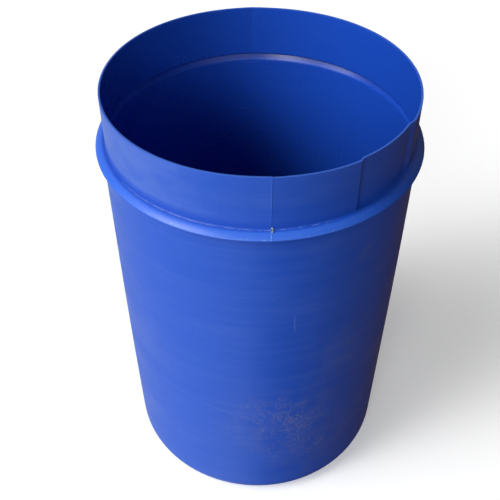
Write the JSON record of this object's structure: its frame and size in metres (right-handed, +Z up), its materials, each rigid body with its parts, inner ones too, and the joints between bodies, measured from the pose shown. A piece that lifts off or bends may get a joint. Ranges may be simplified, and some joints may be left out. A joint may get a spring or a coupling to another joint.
{
  "type": "plastic open head drum",
  "caption": "Open-topped cylindrical plastic drum with a raised hollow bead below a straight neck, a recessed panel in the neck, a rounded heel and a flat foot ring.",
  "frame": {"origin": "centre of the foot ring's underside, on the surface that the drum stands on", "axes": "+Z up along the drum's axis, -Y the front, +X to the right of someone who faces the front"},
  "size_m": [0.6002, 0.6002, 0.8985],
  "materials": {
    "hdpe": "blue pigmented high-density polyethylene, satin as moulded, with faint flow streaks, dust and light scuffs"
  },
  "bodies": {
    "root": {"base_panel": "hdpe", "foot_ring": "hdpe", "heel_left": "hdpe", "heel_right": "hdpe", "side_wall_left": "hdpe", "side_wall_right": "hdpe", "bead_left": "hdpe", "bead_right": "hdpe", "neck_left": "hdpe", "neck_front": "hdpe", "neck_panel": "hdpe", "neck_right": "hdpe"}
  },
  "joints": []
}
